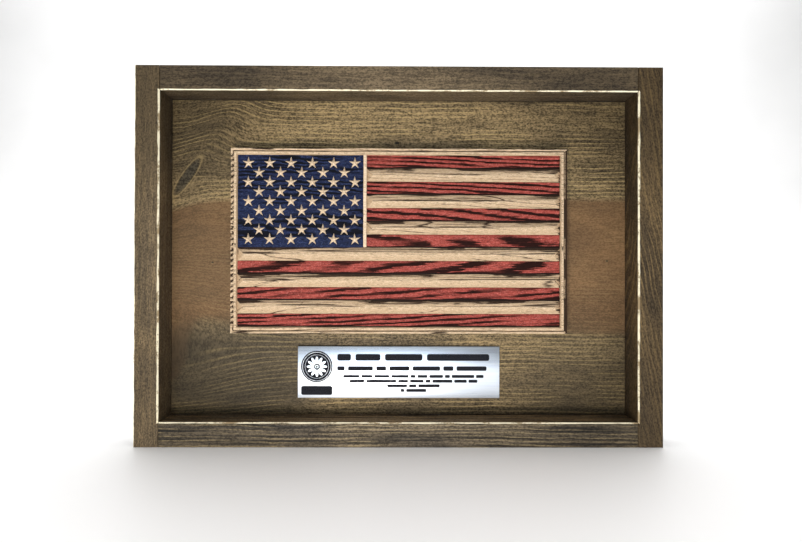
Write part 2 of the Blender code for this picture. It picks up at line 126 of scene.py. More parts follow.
def add_light(name, place, aim, width, height, watts, tint):
    bpy.ops.object.light_add(type="AREA", location=place)
    light = bpy.context.object
    light.name = name
    light.data.shape = "RECTANGLE"
    light.data.size, light.data.size_y = width, height
    light.data.energy = watts
    light.data.color = tint
    light.rotation_euler = (Vector(aim) - Vector(place)).to_track_quat("-Z", "Y").to_euler()
    return light


MIDDLE = (FRAME_LOW + FRAME_HIGH) / 2
add_light("low_window", (-0.10, -0.56, -0.115), MIDDLE, 0.11, 0.11, 1.95, (1.0, 0.93, 0.82))
add_light("front_card", (-0.16, -1.6, -0.20), MIDDLE, 1.1, 0.9, 13.0, (0.74, 0.87, 1.0))
add_light("top_softbox", (0, 1.1, 2.4), (0, 1.15, 0), 5.0, 3.8, 165, (1.0, 1.0, 1.0))

world = bpy.data.worlds.new("surround")
bpy.context.scene.world = world
world.use_nodes = True
surround = world.node_tree.nodes["Background"].inputs
surround["Color"].default_value = (1.0, 0.96, 0.90, 1)
surround["Strength"].default_value = 0.12
print("stage and lights are set")

# %% [markdown]
# ## Mixing finishes
# Every finish below is a small network of nodes that reads the place on the object, so the
# grain runs on from face to face as in solid wood.  `Finish` only shortens the work of
# adding and linking nodes, and `scaled` makes a tone lighter or darker.

# %% Finish helper
class Finish:
    """A material with short ways to add nodes to it."""

    def __init__(self, name):
        self.material = bpy.data.materials.new(name)
        self.material.use_nodes = True
        self.tree = self.material.node_tree
        self.shader = self.tree.nodes["Principled BSDF"]
        self.place = self.add("TexCoord").outputs["Object"]

    def feed(self, socket, value):
        if isinstance(value, bpy.types.NodeSocket):
            self.tree.links.new(value, socket)
        else:
            socket.default_value = value

    def add(self, kind, settings=None, **inputs):
        node = self.tree.nodes.new("ShaderNode" + kind)
        for key, value in (settings or {}).items():
            setattr(node, key, value)
        for key, value in inputs.items():
            self.feed(node.inputs[key.replace("_", " ")], value)
        return node

    def math(self, operation, a, b=0.0):
        node = self.add("Math", {"operation": operation})
        self.feed(node.inputs[0], a)
        self.feed(node.inputs[1], b)
        return node.outputs[0]

    def plus(self, a, b):
        return self.math("ADD", a, b)

    def minus(self, a, b):
        return self.math("SUBTRACT", a, b)

    def times(self, a, b):
        return self.math("MULTIPLY", a, b)

    def over(self, a, b):
        return self.math("DIVIDE", a, b)

    def most(self, a, b):
        return self.math("MAXIMUM", a, b)

    def round_spot(self, u, v):
        """The square of the distance from the middle of a spot."""
        return self.plus(self.times(u, u), self.times(v, v))

    def soft_step(self, value, low, high, out_low=0.0, out_high=1.0):
        node = self.add("MapRange", {"interpolation_type": "SMOOTHSTEP"}, Value=value)
        for key, number in (("From Min", low), ("From Max", high),
                            ("To Min", out_low), ("To Max", out_high)):
            node.inputs[key].default_value = number
        return node.outputs["Result"]

    def blend(self, share, a, b, mode="MIX"):
        node = self.add("Mix", {"data_type": "RGBA", "blend_type": mode})
        for index, value in ((0, share), (6, a), (7, b)):
            if isinstance(value, tuple):
                value = (*value, 1.0)
            self.feed(node.inputs[index], value)
        return node.outputs[2]

    def tint(self, color, by):
        return self.blend(1.0, color, by, "MULTIPLY")

    def cloud(self, scale, detail, rough=0.5, shift=(0, 0, 0), source=None):
        """Noise whose grains are fine where the scale is large."""
        mapped = self.add("Mapping", Vector=source or self.place, Scale=scale, Location=shift)
        node = self.add("TexNoise", Vector=mapped.outputs[0], Scale=1.0, Detail=detail,
                        Roughness=rough)
        return node.outputs["Fac"]

    def split(self):
        return self.add("SeparateXYZ", Vector=self.place).outputs

    def join(self, x, y, z):
        return self.add("CombineXYZ", X=x, Y=y, Z=z).outputs[0]

    def attribute(self, name):
        return self.add("Attribute", {"attribute_name": name}).outputs["Fac"]

    def bump(self, height, strength, distance):
        return self.add("Bump", Height=height, Strength=strength, Distance=distance).outputs[0]

    def surface(self, **inputs):
        for key, value in inputs.items():
            if isinstance(value, tuple):
                value = (*value, 1.0)
            self.feed(self.shader.inputs[key.replace("_", " ")], value)
        return self.material


def scaled(tone, *shares):
    """The tone times one share, or times a share for each of its three channels."""
    shares = shares if len(shares) == 3 else shares * 3
    return tuple(min(1.0, share * channel) for share, channel in zip(shares, tone))


# %% [markdown]
# ## Stained pine
# Pine takes stain unevenly.  The soft early wood drinks it and goes dark, and the hard late
# wood stays lighter, so each year ring shows as a thin pale line on a darker ground.  Sanding
# leaves fine fibres and a peppering of darker and lighter specks.  Knots push the rings aside:
# near a knot, the place that the rings are read from is drawn in towards it, so the lines
# bow round it.

# %% Stained pine
def near_knots(finish, along, across, knots):
    """Push the rings round each knot.  Return the pushed coordinate, the hearts and their rims.

    A knot is given by its place, its reach along and across the grain, its lean, how strongly
    it pushes, and how much of the reach its dark heart fills.
    """
    pushed, hearts, rims = across, 0.0, 0.0
    for x, z, reach, spread, lean, push, heart in knots:
        dx, dz = finish.minus(along, x), finish.minus(across, z)
        c, s = math.cos(lean), math.sin(lean)
        u = finish.plus(finish.times(dx, c / reach), finish.times(dz, s / reach))
        v = finish.minus(finish.times(dz, c / spread), finish.times(dx, s / spread))
        far = finish.round_spot(u, v)
        near = finish.math("EXPONENT", finish.times(far, -1.0))
        pushed = finish.minus(pushed, finish.times(finish.times(dz, near), push))
        if heart:
            edge = heart * heart
            hearts = finish.most(hearts, finish.soft_step(far, edge * 1.1, edge * 0.35))
            band = finish.times(finish.soft_step(far, edge * 0.75, edge),
                               finish.soft_step(far, edge * 1.45, edge * 1.05))
            rims = finish.most(rims, band)
    return pushed, hearts, rims


def pine(name, grain, shift, tone, rings=200.0, ring_pale=0.5, streaks=0.3, contrast=0.6, waves=1.0,
         knots=(), heartwood=None, stain_and_shade_pools=(), lean=0.0, inner=None):
    """Dark-stained pine with its grain along the X or the Z axis, or leaning from it a little.

    Rings is their number in a metre.  Heartwood gives its low and high level, its tone and the
    board's left end.  Each dark pool, partly stain and partly painted shade at the corners and
    edges, has a middle, two half widths and a strength.  Inner is the level above which the wood
    is part of the face inside the frame, which is lightened with painted light.
    """
    finish = Finish(name)
    x, y, z = finish.split()
    along, across = (x, z) if grain == "X" else (z, x)
    waver = finish.cloud((30, 60, 60) if grain == "X" else (60, 60, 30), 2.0, shift=shift)
    across = finish.plus(across, finish.times(finish.minus(waver, 0.5), 3.0 * MM * waves))
    across = finish.plus(across, finish.times(along, lean))
    across, hearts, rims = near_knots(finish, along, across, knots)
    grained = finish.join(along, y, across)

    def along_grain(scale, detail, rough=0.5):
        return finish.cloud(scale, detail, rough, shift, grained)

    # Year rings: a saw-tooth in a wavy coordinate, so each ring has one soft and one crisp side.
    wave = along_grain((5, 26, 26), 2.0)
    ripple = along_grain((30, 200, 200), 2.0)
    ring_place = finish.plus(finish.times(across, rings), finish.times(y, rings * 0.55))
    ring_place = finish.plus(ring_place, finish.times(wave, 5.0 * waves))
    ring_place = finish.plus(ring_place, finish.times(ripple, 1.1 * waves))
    saw = finish.math("FRACT", ring_place)
    late = finish.times(finish.soft_step(saw, 0.55, 0.86), finish.soft_step(saw, 1.0, 0.93))
    patch = along_grain((16, 60, 60), 2.0)
    late = finish.times(late, finish.soft_step(patch, 0.36, 0.56))

    # Fibres run with the grain, specks are nearly round, streaks and blotches are broad.
    fibre = along_grain((110, 1100, 1100), 3.0, 0.6)
    speck = along_grain((560, 1000, 1000), 3.0, 0.75)
    streak = along_grain((9, 330, 330), 3.0, 0.6)
    blotch = along_grain((11, 30, 30), 4.0, 0.6)

    grit = finish.plus(finish.times(fibre, 0.32), finish.times(speck, 0.68))
    grit = finish.soft_step(grit, 0.38, 0.62)
    late = finish.times(late, finish.soft_step(speck, 0.40, 0.56, 0.40, 1.0))
    dark = scaled(tone, 1 - contrast)
    pale = scaled(tone, 1 + contrast, 1 + 0.97 * contrast, 1 + 0.88 * contrast)
    color = finish.blend(grit, dark, pale)
    shade = finish.blend(finish.soft_step(streak, 0.36, 0.60),
                         (0.32, 0.32, 0.32), (1.30, 1.30, 1.27))
    color = finish.blend(streaks, color, finish.tint(color, shade))
    shade = finish.blend(finish.soft_step(blotch, 0.36, 0.62),
                         (0.60, 0.60, 0.62), (1.15, 1.13, 1.08))
    color = finish.tint(color, shade)
    if heartwood:
        low, high, heart_tone, left_end = heartwood
        level = finish.plus(across, finish.times(finish.minus(wave, 0.5), 16 * MM))
        # By the left end, the heartwood reaches further down.
        off_end = finish.over(finish.minus(x, left_end), 15 * MM)
        sag = finish.math("EXPONENT", finish.times(finish.times(off_end, off_end), -1.0))
        lowered = finish.plus(level, finish.times(sag, 22 * MM))
        inside = finish.times(finish.soft_step(lowered, low - 4 * MM, low + 4 * MM),
                              finish.soft_step(level, high + 3 * MM, high - 3 * MM))
        calm = finish.blend(finish.soft_step(grit, 0.0, 1.0),
                            scaled(heart_tone, 0.74), scaled(heart_tone, 1.22))
        color = finish.blend(inside, color, finish.blend(0.6, calm, finish.tint(calm, shade)))
        late = finish.times(late, finish.soft_step(inside, 0.0, 1.0, 1.0, 0.15))
    # Where stain gathered, and where painted shade is laid at the corners and edges, the wood is
    # dark and calm, and only the year rings show.
    stain_and_shade_pooled = 0.0
    for pool_x, pool_z, wide, tall, strength in stain_and_shade_pools:
        u = finish.over(finish.minus(x, pool_x), wide)
        v = finish.over(finish.minus(z, pool_z), tall)
        far = finish.round_spot(u, v)
        stain_and_shade_pooled = finish.most(stain_and_shade_pooled, finish.soft_step(far, 1.0, 0.1, 0.0, strength))
    color = finish.blend(finish.times(stain_and_shade_pooled, 0.45), color, tone)
    pale_line = scaled(tone, 2.6, 2.55, 2.1)
    color = finish.blend(finish.times(late, ring_pale), color, pale_line)
    color = finish.blend(stain_and_shade_pooled, color, finish.tint(color, (0.36, 0.38, 0.42)))
    # Painted shade: the colour darkens towards the four corners, where the light falls off.
    off_x = finish.over(finish.math("ABSOLUTE", x), 200 * MM)
    off_z = finish.over(finish.math("ABSOLUTE", finish.minus(z, MIDDLE.z)), MIDDLE.z)
    off = finish.plus(off_x, off_z)
    color = finish.blend(finish.soft_step(off, 0.95, 1.75), color,
                         finish.tint(color, (0.56, 0.55, 0.53)))
    if inner:
        # Painted light: above the given level, the face inside the frame is lighter and warmer.
        color = finish.blend(finish.soft_step(across, inner - 0.4 * MM, inner), color,
                             finish.tint(color, (1.12, 1.0, 0.85)))
    if knots:
        knot_wood = finish.blend(grit, (0.018, 0.015, 0.010), (0.075, 0.062, 0.042))
        color = finish.blend(finish.times(hearts, 0.85), color, knot_wood)
        color = finish.blend(finish.times(rims, 0.26), color, pale_line)

    relief = finish.plus(finish.times(grit, 0.6), finish.times(late, 0.5))
    return finish.surface(Base_Color=color, Roughness=finish.soft_step(grit, 0.0, 1.0, 0.70, 0.52),
                          Specular_IOR_Level=0.22, Normal=finish.bump(relief, 0.6, 0.15 * MM))


# Painted light and shade: the left stile's tone is lighter and the right stile's darker, as the low
# light falls off from left to right.
FRAME_TONES = {
    "stile_left": ("Z", (0.3, 1.1, 4.0), (0.169, 0.121, 0.069), 0.22, 230.0, 0.16),
    "stile_right": ("Z", (3.7, 2.2, 9.0), (0.100, 0.067, 0.034), 0.22, 290.0, 0.66),
    "rail_top": ("X", (7.1, 0.4, 2.0), (0.133, 0.098, 0.062), 0.28, 250.0, 0.25),
    "rail_bottom": ("X", (5.3, 3.4, 6.0), (0.130, 0.100, 0.067), 1.0, 330.0, 1.0),
}
MORE_PINE = {
    # The left stile's dark pool, at the frame's top left corner, is painted shade.
    "stile_left": {"stain_and_shade_pools": ((-195 * MM, 275 * MM, 60 * MM, 90 * MM, 0.30),)},
    "stile_right": {"lean": 0.20},
    # The bottom rail's face inside the frame gets painted light.
    "rail_bottom": {"inner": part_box("rail_bottom")[1].z - 0.2 * MM},
}
board_finishes = {
    node: pine("stained_" + node, grain, shift, tone, rings=rings, ring_pale=ring_pale,
               streaks=streaks, contrast=0.54, **MORE_PINE.get(node, {}))
    for node, (grain, shift, tone, streaks, rings, ring_pale) in FRAME_TONES.items()
}
print("mixed", len(board_finishes), "finishes for the frame boards")

# %% [markdown]
# The board in the back is one wide plank.  Its middle is reddish heartwood and the sapwood
# above and below it is greyer, with bold rings.  Two branches met the plank at its left edge,
# so the rings sweep round them.  Three small knots lie further in.

# %% Back board finish
PANEL_LOW, PANEL_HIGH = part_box("back_panel")
LEFT_EDGE = PANEL_LOW.x
HEART_LOW, HEART_HIGH = 85 * MM, 191 * MM
PANEL_KNOTS = (
    (LEFT_EDGE + 12 * MM, 210 * MM, 74 * MM, 17 * MM, 0.96, 0.38, 0.26),
    (LEFT_EDGE - 6 * MM, 76 * MM, 60 * MM, 42 * MM, 0.0, 0.92, 0.0),
    (-2 * MM, 237.5 * MM, 8 * MM, 4 * MM, 0.0, 0.8, 0.30),
    (168 * MM, 143 * MM, 7 * MM, 4 * MM, 0.0, 0.8, 0.20),
    (-150 * MM, 141 * MM, 6 * MM, 4 * MM, 0.0, 0.8, 0.20),
)
# Dark patches lie along the bottom and the left edge and in the lower corners: partly stain, partly
# painted shade.
PANEL_STAIN_AND_SHADE_POOLS = (
    (-135 * MM, 55 * MM, 110 * MM, 52 * MM, 0.95),
    (150 * MM, 50 * MM, 100 * MM, 50 * MM, 0.55),
    (-165 * MM, 225 * MM, 50 * MM, 60 * MM, 0.30),
    (-172 * MM, 140 * MM, 60 * MM, 50 * MM, 0.30),
    (10 * MM, 22 * MM, 90 * MM, 30 * MM, 0.25),
)
panel_finish = pine("stained_panel", "X", (1.9, 0.2, 5.0), (0.220, 0.158, 0.085), rings=290.0,
                    ring_pale=0.80, streaks=0.30, contrast=0.72, waves=0.5, knots=PANEL_KNOTS,
                    stain_and_shade_pools=PANEL_STAIN_AND_SHADE_POOLS,
                    heartwood=(HEART_LOW, HEART_HIGH, (0.198, 0.113, 0.053), LEFT_EDGE))
print("back board heartwood from", HEART_LOW, "to", HEART_HIGH)

# %% [markdown]
# Sandpaper went along the edges after the stain had dried and took them back to bare wood.
# The bare wood is pale and a little patchy, where the stain had soaked in deeper.

# %% Bare edge finish
def bare_edge():
    finish = Finish("sanded_edge")
    streak = finish.cloud((90, 300, 90), 3.0)
    fine = finish.cloud((900, 900, 900), 2.0)
    share = finish.plus(finish.times(streak, 0.7),
                        finish.times(fine, 0.3))
    color = finish.blend(finish.soft_step(share, 0.38, 0.52),
                         (0.34, 0.25, 0.14), (0.95, 0.86, 0.63))
    return finish.surface(Base_Color=color, Roughness=0.6, Specular_IOR_Level=0.25,
                          Normal=finish.bump(fine, 0.3, 0.1 * MM))


edge_finish = bare_edge()
print("mixed the bare edge finish")

# %% [markdown]
# ## Working by hand
# The pieces start as plain primitives.  These helpers do what a hand does at the screen:
# pick faces or edges by where they are, cut a long piece into slices, and push points about.

# %% Hand tools
def add_block(name, low, high):
    """A cube primitive that fills the space from low to high."""
    low, high = Vector(low), Vector(high)
    bpy.ops.mesh.primitive_cube_add(size=1, location=(low + high) / 2, scale=high - low)
    block = bpy.context.object
    block.name = block.data.name = name
    bpy.ops.object.transform_apply(location=True, rotation=True, scale=True)
    return block


def pick(thing, kind, test):
    """Go to edit mode with only the faces, edges or points selected that pass the test.

    The test is given a face's centre and normal, an edge's middle and run, or a point's
    place and normal.
    """
    select_only(thing)
    bpy.ops.object.mode_set(mode="EDIT")
    bpy.ops.mesh.select_mode(type=kind)
    bpy.ops.mesh.select_all(action="DESELECT")
    shape = bmesh.from_edit_mesh(thing.data)
    count = 0
    if kind == "FACE":
        items = ((face, face.calc_center_median(), face.normal) for face in shape.faces)
    elif kind == "EDGE":
        items = ((edge, (edge.verts[0].co + edge.verts[1].co) / 2,
                  edge.verts[1].co - edge.verts[0].co) for edge in shape.edges)
    else:
        items = ((vert, vert.co, vert.normal) for vert in shape.verts)
    for item, place, run in items:
        chosen = bool(test(place, run))
        item.select_set(chosen)
        count += chosen
    shape.select_flush_mode()
    bmesh.update_edit_mesh(thing.data)
    return count


def done():
    bpy.ops.object.mode_set(mode="OBJECT")


def drift(x, y, z):
    """Smooth noise from about -1 to 1."""
    return noise.noise(Vector((x, y, z)))


def slice_along(thing, axis, step):
    """Cut every edge that runs along the axis into lengths of about step."""
    lengths = [(thing.data.vertices[e.vertices[1]].co - thing.data.vertices[e.vertices[0]].co)
               for e in thing.data.edges]
    longest = max(abs(run[axis]) for run in lengths)
    cuts = int(longest / step)
    if cuts < 1:
        return
    others = [k for k in range(3) if k != axis]
    pick(thing, "EDGE", lambda place, run: abs(run[axis]) > 0.6 * longest
         and all(abs(run[k]) < abs(run[axis]) * 0.9 for k in others))
    bpy.ops.mesh.subdivide(number_cuts=cuts, quadcorner="INNERVERT")
    done()


def slice_finely(thing):
    """Cut a piece of the flag into small cells, which are longer along the grain."""
    slice_along(thing, 0, 1.5 * MM)
    slice_along(thing, 2, 0.55 * MM)


def soften(thing, width, segments=2, angle=30):
    """Round every edge that is sharper than the angle."""
    select_only(thing)
    step = thing.modifiers.new("soften", "BEVEL")
    step.width = width
    step.segments = segments
    step.limit_method = "ANGLE"
    step.angle_limit = math.radians(angle)
    step.harden_normals = False
    bpy.ops.object.modifier_apply(modifier=step.name)


def cut_away(thing, tool):
    """Take the tool's shape out of the thing, and remove the tool."""
    select_only(thing)
    step = thing.modifiers.new("cut", "BOOLEAN")
    step.operation = "DIFFERENCE"
    step.object = tool
    bpy.ops.object.modifier_apply(modifier=step.name)
    bpy.data.objects.remove(tool, do_unlink=True)


def join_all(name, things):
    bpy.ops.object.select_all(action="DESELECT")
    for thing in things:
        thing.select_set(True)
    bpy.context.view_layer.objects.active = things[0]
    if len(things) > 1:
        bpy.ops.object.join()
    things[0].name = things[0].data.name = name
    return things[0]


def copy_of(thing, name):
    twin = thing.copy()
    twin.data = thing.data.copy()
    twin.name = twin.data.name = name
    bpy.context.scene.collection.objects.link(twin)
    return twin


def settle(piece, material, node=None, angle=30):
    """Give a finished piece its material, its shading and its place on the model."""
    select_only(piece)
    bpy.ops.object.transform_apply(location=True, rotation=True, scale=True)
    bpy.ops.object.shade_smooth_by_angle(angle=math.radians(angle))
    if not piece.data.materials:
        piece.data.materials.append(material)
    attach(piece, "case")
    if node:
        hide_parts(node)
    print(f"{piece.name}: {len(piece.data.polygons)} faces")


# %% [markdown]
# ## Frame boards
# Each board starts as a block.  All its corners are rounded a little first.  Then one blunt
# wedge, the size of the opening, eases the inner front edges of all four boards together, as
# sandpaper does after glue-up, so that the bare lines meet in neat mitres.  Next, the nail
# holes are drilled.  Last, the points of the bare strip are pushed to and fro, because a
# line that is sanded by hand is never even.

# %% Frame boards
OPENING_LOW = Vector((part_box("stile_left")[1].x, 0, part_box("rail_bottom")[1].z))
OPENING_HIGH = Vector((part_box("stile_right")[0].x, 0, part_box("rail_top")[0].z))
EASE, OVER = 1.15 * MM, 1.0 * MM
OUTER_STRIP = 0.9 * MM


def sanding_wedge(low, high, ease):
    """A frustum that is wider than the opening in front and narrower behind."""
    front, back = FRAME_FRONT - OVER, FRAME_FRONT + ease + OVER
    wedge = add_block("wedge", (low.x - ease - OVER, front, low.z - ease - OVER),
                      (high.x + ease + OVER, back, high.z + ease + OVER))
    slope = back - front
    size = high - low
    ratio_x = 1 - 2 * slope / (size.x + 2 * (ease + OVER))
    ratio_z = 1 - 2 * slope / (size.z + 2 * (ease + OVER))
    pick(wedge, "FACE", lambda place, normal: normal.y > 0.9)
    bpy.ops.transform.resize(value=(ratio_x, 1, ratio_z),
                             center_override=((low.x + high.x) / 2, back, (low.z + high.z) / 2))
    done()
    return wedge


def nail_holes(nodes):
    """Short round cutters over the heads of the nails that belong to a board."""
    tools = []
    for node in nodes:
        low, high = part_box(node)
        run = max(range(3), key=lambda k: high[k] - low[k])
        thick = min(high[k] - low[k] for k in range(3))
        place = (low + high) / 2
        outward = 1 if place[run] > MIDDLE[run] else -1
        place[run] = high[run] if outward > 0 else low[run]
        turn = (0, math.pi / 2, 0) if run == 0 else (0, 0, 0)
        bpy.ops.mesh.primitive_cylinder_add(vertices=20, radius=thick / 2 + 0.15 * MM,
                                            depth=5 * MM, location=place, rotation=turn)
        tools.append(bpy.context.object)
    return join_all("drill", tools)


def wear_edge(piece, strip_normal, amount):
    """Push the points round the bare strip about, along the board's own faces."""
    mesh = piece.data
    strip = {v for face in mesh.polygons if strip_normal(face) for v in face.vertices}
    for index in strip:
        point = mesh.vertices[index].co
        away = noise.noise(Vector((point.x, point.y * 3, point.z)) * 95)
        fine = noise.noise(Vector((point.z, point.x, point.y * 3)) * 420)
        on_front = abs(point.y - FRAME_FRONT) < 0.2 * MM
        push = amount * (0.8 * away + 0.5 * fine)
        if not on_front:
            point.y = max(FRAME_FRONT, point.y + push)
        elif piece.name.startswith("stile"):
            point.x += push if point.x >= 0 else -push
        else:
            point.z += push if point.z >= MIDDLE.z else -push


def frame_board(node):
    low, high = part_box(node)
    grain = FRAME_TONES[node][0]
    piece = add_block(node + "_board", low, high)
    if node == "stile_left":
        # Its outer front edge was sanded too.
        pick(piece, "EDGE", lambda place, run: place.x < low.x + 0.1 * MM
             and place.y < low.y + 0.1 * MM)
        bpy.ops.mesh.bevel(offset=OUTER_STRIP, segments=1, affect="EDGES")
        done()
    soften(piece, 0.3 * MM, 2)
    thinner = Vector((0, 0, 0.35 * MM))
    cut_away(piece, sanding_wedge(OPENING_LOW + thinner, OPENING_HIGH - thinner, EASE))
    side = node.split("_")[1]
    nails = [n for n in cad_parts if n.startswith("panel_brad_" + side)]
    if node.startswith("stile"):
        nails += [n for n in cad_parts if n.startswith("corner_nail") and side in n]
    cut_away(piece, nail_holes(nails))
    slice_along(piece, 0 if grain == "X" else 2, 2.5 * MM)

    def is_strip(face):
        """Tell the sanded faces by their tilt, near the opening or at the left stile's edge."""
        forward = -face.normal.y
        if node == "stile_left" and face.center.x < low.x + OUTER_STRIP:
            return 0.45 < forward < 0.98
        off_side = abs(abs(face.center.x) - OPENING_HIGH.x)
        off_end = min(abs(face.center.z - OPENING_LOW.z), abs(face.center.z - OPENING_HIGH.z))
        return min(off_side, off_end) < 3 * MM and 0.5 < forward < 0.9 and face.area > 0.5e-6

    piece.data.materials.append(board_finishes[node])
    piece.data.materials.append(edge_finish)
    for face in piece.data.polygons:
        face.material_index = 1 if is_strip(face) else 0
    wear_edge(piece, is_strip, 0.42 * MM)
    settle(piece, None, node=node)


for node in FRAME_TONES:
    frame_board(node)

# %% [markdown]
# ## Back board
# The wide board is a block with softened edges and four countersunk screw holes in its back.

# %% Back board
def back_board():
    piece = add_block("back_board", PANEL_LOW, PANEL_HIGH)
    soften(piece, 0.4 * MM, 2)
    sinks = []
    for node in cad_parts:
        if node.startswith("flag_screw"):
            low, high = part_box(node)
            radius = (high.x - low.x) / 2
            bpy.ops.mesh.primitive_cone_add(
                vertices=40, radius1=radius * 0.45, radius2=radius + 1.3 * MM, depth=5 * MM,
                location=((low.x + high.x) / 2, high.y - 1.5 * MM, (low.z + high.z) / 2),
                rotation=(-math.pi / 2, 0, 0))
            sinks.append(bpy.context.object)
    cut_away(piece, join_all("countersink", sinks))
    settle(piece, panel_finish, node="back_panel")


back_board()

# %% [markdown]
# ## Carved flag: the grain
# The flag is cut from one plank.  A plank shows the year rings of its tree as long arches:
# each ring is a tall cone round the tree's heart, and the face of the plank slices it.  So
# the number of rings between the heart and a place in the wood is worked out for each
# point, and stored.  The finish reads it, makes one dark, scorched band per ring, and frays
# the band along the fibres.  The soft parts that burnt away are sunk a little as well.

# %% Year rings of the flag
FLAG_LOW, FLAG_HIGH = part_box("carved_flag")
FLAG_FRONT = FLAG_LOW.y
HEART_LEVEL = (FLAG_LOW.z + FLAG_HIGH.z) / 2 - 9 * MM
HEART_DEPTH, HEART_SLOPE, RING_STEP = 63 * MM, 0.046, 2.3 * MM
RELIEF = 2.6 * MM


def rings_at(place):
    """How many year rings lie between the tree's heart and a place in the wood."""
    across = place.z - HEART_LEVEL
    deep = HEART_DEPTH + HEART_SLOPE * place.x - (place.y - FLAG_FRONT)
    waves = 0.42 * drift(place.x * 13, place.y * 60, place.z * 48)
    waves += 0.16 * drift(place.x * 45, place.y * 90, place.z * 190)
    return math.hypot(across, deep) / RING_STEP + waves


def smooth_between(value, low, high):
    share = min(1.0, max(0.0, (value - low) / (high - low)))
    return share * share * (3 - 2 * share)


def grain_points(piece, sink, darken=None):
    """Store each point's ring number, its char and painted shadow, and its painted shade, and sink
    the soft part of a ring.
    """
    mesh = piece.data
    rings = mesh.attributes.new("rings", "FLOAT", "POINT")
    soot_and_shadow_values = mesh.attributes.new("soot_and_shadow", "FLOAT", "POINT")
    shades = mesh.attributes.new("shade", "FLOAT", "POINT")
    seen = [(vert.co.copy(), vert.normal.copy()) for vert in mesh.vertices]
    for index, (place, normal) in enumerate(seen):
        number = rings_at(place)
        soot_and_shadow, shade = darken(place, normal) if darken else (0.0, 0.0)
        rings.data[index].value = number
        soot_and_shadow_values.data[index].value, shades.data[index].value = soot_and_shadow, shade
        if normal.y < -0.3:
            phase = number % 1.0
            soft = smooth_between(phase, 0.5, 0.7) * (1 - smooth_between(phase, 0.9, 1.0))
            mesh.vertices[index].co.y = place.y + sink * soft


def carved(name, clean, worn, bright, char_and_shadow, band, strength, fray=0.95, painted_shade_tone=None, wavy=0.0):
    """Wood under thin paint, or bare, with one dark band in each ring.

    The band lies between two shares of the ring.  Fray is how far fibres tear it, and wavy how
    much it wanders.  The tone given after fray is painted shade for the deeper cuts and for the
    slopes that face away from the light.
    """
    finish = Finish(name)
    soot_and_shadow = finish.attribute("soot_and_shadow")
    fibre = finish.cloud((38, 700, 1050), 3.0, 0.65)
    hair = finish.cloud((260, 1500, 2300), 3.0, 0.7)
    speck = finish.cloud((900, 1300, 1500), 2.0, 0.7)
    patch = finish.cloud((14, 90, 90), 2.0)
    frayed = finish.times(finish.minus(fibre, 0.5), fray)
    if wavy:
        wave = finish.cloud((50, 90, 150), 2.0)
        frayed = finish.plus(frayed, finish.times(wave, wavy))
    phase = finish.math("FRACT", finish.plus(finish.attribute("rings"), frayed))
    low, high = band
    mask = finish.times(finish.soft_step(phase, low, low + 0.10),
                        finish.soft_step(phase, high + 0.05, high))
    mask = finish.times(mask, finish.soft_step(patch, *strength))
    ground = finish.blend(finish.soft_step(hair, 0.38, 0.62), worn, clean)
    ground = finish.blend(finish.soft_step(speck, 0.54, 0.66, 0.0, 0.6), ground, bright)
    pores = finish.soft_step(finish.cloud((260, 1500, 1700), 2.0), 0.63, 0.69)
    color = finish.blend(finish.times(pores, 0.6), ground, char_and_shadow)
    if painted_shade_tone:
        # Painted shade: the deeper a cut lies, the more it takes the shade tone, and so do the
        # slopes that the shade value marks.
        deep = finish.over(finish.minus(finish.split()["Y"], FLAG_FRONT), RELIEF)
        painted_shade_share = finish.most(finish.soft_step(deep, 0.0, 0.75, 0.0, 0.40),
                              finish.attribute("shade"))
        color = finish.blend(painted_shade_share, color, painted_shade_tone)
        # Thin dark lines follow the grain on the upper slopes and wherever else char and painted
        # shadow are marked.
        line = finish.cloud((5, 240, 520), 1.0, 0.5)
        line = finish.soft_step(finish.math("ABSOLUTE", finish.minus(line, 0.5)), 0.055, 0.030)
        broken = finish.soft_step(finish.cloud((16, 60, 240), 2.0), 0.40, 0.50)
        line = finish.times(line, finish.times(broken, finish.soft_step(soot_and_shadow, 0.10, 0.35)))
        mask = finish.most(mask, finish.times(line, 0.92))
        # Painted shade: the deepest floor, down in the crevices, goes black.
        color = finish.blend(finish.soft_step(deep, 0.93, 0.99), color, char_and_shadow)
    char_and_shadow_color = finish.blend(finish.soft_step(hair, 0.35, 0.65), char_and_shadow, scaled(char_and_shadow, 2.0))
    # Where char and painted shadow are marked strongly, the wood goes black in frayed char tones:
    # char in the notches and rim patches, painted shadow along the lower edges of the red stripes,
    # in the groove, at the foot of the upper slopes and on the right rim.
    sooty_and_shadowed = finish.plus(soot_and_shadow, finish.times(finish.minus(fibre, 0.5), 1.3))
    mask = finish.most(mask, finish.soft_step(sooty_and_shadowed, 0.68, 0.76, 0.0, 0.96))
    color = finish.blend(mask, color, char_and_shadow_color)
    relief = finish.minus(finish.times(hair, 0.9), finish.times(mask, 0.8))
    return finish.surface(Base_Color=color, Roughness=finish.soft_step(mask, 0.0, 1.0, 0.52, 0.8),
                          Specular_IOR_Level=0.10,
                          Normal=finish.bump(relief, 0.9, 0.20 * MM))


